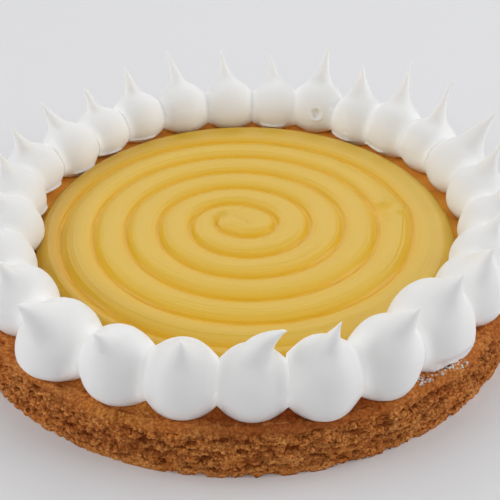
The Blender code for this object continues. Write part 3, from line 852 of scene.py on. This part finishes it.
def soften_seams(mesh, spots, number):
    """Mark the seams for their painted glow, and turn the normals beside them along it: the foam has run together and
    shows no edge.
    """
    seam = np.zeros(len(spots))
    normals = np.zeros(len(spots) * 3)
    mesh.vertex_normals.foreach_get("vector", normals)
    normals = normals.reshape(-1, 3)
    for corner, normal in walls(number):
        apart = (corner.x - spots[:, 0]) * normal.x + (corner.y - spots[:, 1]) * normal.y
        turned = (normals[:, 0] * normal.x + normals[:, 1] * normal.y) * np.exp(-(apart / SEAM_BLEND) ** 2)
        turned *= np.abs(turned) < 0.95
        seam = np.maximum(seam, np.exp(-(apart / SEAM_GLOW_WIDTH) ** 2))
        normals[:, 0] -= turned * normal.x
        normals[:, 1] -= turned * normal.y
    normals /= np.linalg.norm(normals, axis=1)[:, None]
    mesh.normals_split_custom_set_from_vertices(normals.tolist())
    if BACK_BEARINGS[0] < KISSES[number].bearing < BACK_BEARINGS[1]:
        seam *= BACK_GLOW
    store_attribute(mesh, "seam", seam)


def press_bubble(spots, kiss, floor, bubble):
    """Open one burst bubble in the side of a kiss that faces the viewer, with a rim that is raised below it."""
    middle = kiss_place(kiss)[0]
    across = (spots[:, 0] - middle.x) / MM - bubble.across
    up = (spots[:, 2] - floor) / MM - bubble.height
    apart = np.hypot(across, up) / bubble.radius
    facing = spots[:, 1] < middle.y + kiss.out * MM * (bubble.height > kiss.ball)
    hollow = bubble.depth * np.sqrt(np.maximum(0, 1 - apart ** 2))
    rim = bubble.rim * np.exp(-((apart - 1.15) / 0.25) ** 2) * (1 - 0.8 * np.clip(up / bubble.radius, -1, 1)) / 1.8
    spots[:, 1] += (hollow - rim) * facing * MM


def smear_foot(spots, kiss, floor):
    """Flatten the foot of a kiss along the biscuit's edge, where it was dragged as it was piped, and fray it."""
    low = 1 - smooth_step((spots[:, 2] - floor) / MM, 0.5, 9)
    from_middle = (spots[:, :2] - np.array(kiss_place(kiss)[0])) / MM
    face = np.array((cos(SMEAR_BEARING), sin(SMEAR_BEARING)))
    beside = np.array((-face[1], face[0]))
    out = from_middle @ face
    aside = from_middle @ beside
    fray = noise_field(spots / MM, 1.5) * 0.7 * (low > 0.8)
    flat = np.where(out > 0, np.minimum(out, SMEAR_REACH + fray), out)
    out += (flat - out) * low
    aside += np.maximum(aside, 0) * 0.16 * low * (out > 0)
    spots[:, :2] = np.array(kiss_place(kiss)[0]) + (np.outer(out, face) + np.outer(aside, beside)) * MM


# Whipped Italian meringue, unbrowned: a fine foam, satin rather than glossy, that light sinks into
meringue, tree, shader = start_material("whipped_italian_meringue")
place = add_node(tree, "ShaderNodeTexCoord").outputs["Object"]
shader.inputs["Base Color"].default_value = linear("#FCFCFA")
shader.inputs["Roughness"].default_value = 0.5
shader.inputs["Specular IOR Level"].default_value = 0.35
shader.inputs["Subsurface Weight"].default_value = 0.8
shader.inputs["Subsurface Radius"].default_value = (1.0, 0.97, 0.93)
shader.inputs["Subsurface Scale"].default_value = 2.0 * MM
# Painted light: the seams glow a little, for the light that the foam passes on from kiss to kiss, which the walls
# between the pieces would stop
painted_seam_glow = add_node(tree, "ShaderNodeMath", {0: stored_share(tree, "seam"), 1: SEAM_GLOW}, operation="MULTIPLY")
tree.links.new(painted_seam_glow.outputs[0], shader.inputs["Emission Strength"])
shader.inputs["Emission Color"].default_value = linear("#FFFEFA")
foam = add_node(tree, "ShaderNodeTexNoise", {"Vector": place, "Scale": 1400, "Detail": 2})
foam_bump = add_node(tree, "ShaderNodeBump", {"Height": foam.outputs["Fac"], "Strength": 0.12, "Distance": 0.3 * MM})
tree.links.new(foam_bump.outputs["Normal"], shader.inputs["Normal"])

# The node tree: a round nozzle drawn along the spine, then pushed in and out a little by noise
kiss_sizes = {"Sides": 96, "Unevenness": 0.8 * MM, "Wrinkle": 0.16 * MM, "Seed": 0.0}
tree, given, result = start_tree("piped_kiss", kiss_sizes)
girth = add_node(tree, "GeometryNodeInputNamedAttribute", {"Name": "girth"}, data_type="FLOAT")
spine = add_node(tree, "GeometryNodeMeshToCurve", {"Mesh": given.outputs["Geometry"]})
nozzle = add_node(tree, "GeometryNodeCurvePrimitiveCircle", {"Resolution": given.outputs["Sides"], "Radius": 1.0})
squeezed = add_node(tree, "GeometryNodeCurveToMesh", {
    "Curve": spine.outputs["Curve"], "Profile Curve": nozzle.outputs["Curve"],
    "Scale": girth.outputs["Attribute"], "Fill Caps": True})
where = add_node(tree, "GeometryNodeInputPosition")
normal = add_node(tree, "GeometryNodeInputNormal")
broad = add_node(tree, "ShaderNodeTexNoise", {"Vector": where.outputs[0], "Scale": 85.0, "Detail": 1.0,
                                              "W": given.outputs["Seed"]}, noise_dimensions="4D")
small = add_node(tree, "ShaderNodeTexNoise", {"Vector": where.outputs[0], "Scale": 330.0, "Detail": 2.0,
                                              "W": given.outputs["Seed"]}, noise_dimensions="4D")
broad_even = add_node(tree, "ShaderNodeMath", {0: broad.outputs["Fac"], 1: 0.5}, operation="SUBTRACT")
small_even = add_node(tree, "ShaderNodeMath", {0: small.outputs["Fac"], 1: 0.5}, operation="SUBTRACT")
broad_push = add_node(tree, "ShaderNodeMath", {0: broad_even.outputs[0], 1: given.outputs["Unevenness"]},
                      operation="MULTIPLY")
push = add_node(tree, "ShaderNodeMath", {0: small_even.outputs[0], 1: given.outputs["Wrinkle"],
                                         2: broad_push.outputs[0]}, operation="MULTIPLY_ADD")
offset = add_node(tree, "ShaderNodeVectorMath", {0: normal.outputs[0]}, operation="SCALE")
tree.links.new(push.outputs[0], offset.inputs["Scale"])
uneven = add_node(tree, "GeometryNodeSetPosition", {"Geometry": squeezed.outputs["Mesh"],
                                                    "Offset": offset.outputs[0]})
smooth = add_node(tree, "GeometryNodeSetShadeSmooth", {"Geometry": uneven.outputs["Geometry"]})
real = add_node(tree, "GeometryNodeRealizeInstances", {"Geometry": smooth.outputs["Geometry"]})
painted = add_node(tree, "GeometryNodeSetMaterial", {"Geometry": real.outputs["Geometry"], "Material": meringue})
tree.links.new(painted.outputs["Geometry"], result.inputs["Geometry"])

for number, kiss in enumerate(KISSES):
    node_name = f"meringue_kiss_{number + 1:02d}"
    node_low, node_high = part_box(node_name)
    piped = bpy.data.objects.new(f"piped_{node_name}", kiss_spine(kiss, node_low[2]))
    bpy.context.scene.collection.objects.link(piped)
    grow(piped, tree, {**kiss_sizes, "Seed": float(number)}, meringue)
    spots = read_spots(piped.data)
    if kiss.bearing == SMEARED:
        smear_foot(spots, kiss, node_low[2])
    press_on_walls(spots, number, node_low[2])
    for bubble in BUBBLES.get(kiss.bearing, ()):
        press_bubble(spots, kiss, node_low[2], bubble)
    keep_off_cream(spots)
    if kiss.bearing in LIPS:
        spread_lip(spots, kiss, node_low[2])
    spots[:, 2] = np.clip(spots[:, 2], node_low[2], node_high[2])
    spots[:, :2] = np.clip(spots[:, :2], np.array(cad_box[0][:2]) + BOX_MARGIN, np.array(cad_box[1][:2]) - BOX_MARGIN)
    write_spots(piped.data, spots)
    soften_seams(piped.data, spots, number)
    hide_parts(node_name)
    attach(piped, "root")


# The flecks of meringue
# Scraps of the same meringue that the dragged kiss left on the biscuit's edge, scattered by the tree of the crumbs.

FLECK_LINE = ((60.1, -86.4), (79.5, -73.9))
FLECK_WIDTH = 1.7 * MM
FLECK_SIZES = {"Density": 900000.0, "Smallest": 0.1 * MM, "Largest": 0.5 * MM, "Seed": 9}

flecks = bpy.data.objects.new("meringue_flecks", crust.data.copy())
bpy.context.scene.collection.objects.link(flecks)
start, end = (np.array(corner) * MM for corner in FLECK_LINE)
run = (end - start) / np.linalg.norm(end - start)
from_start = crust_points[:, :2] - start
beyond = from_start @ np.array((run[1], -run[0]))
travelled = from_start @ run
smeared = (np.abs(beyond - 0.1 * MM) < FLECK_WIDTH) & (travelled > -1 * MM) & (travelled < 21 * MM)
smeared &= crust_points[:, 2] > 10 * MM
flecks.data.attributes["side"].data.foreach_set("value", smeared.astype(np.float32))
grow(flecks, bpy.data.node_groups["scattered_crumbs"], FLECK_SIZES, meringue)
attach(flecks, "root")
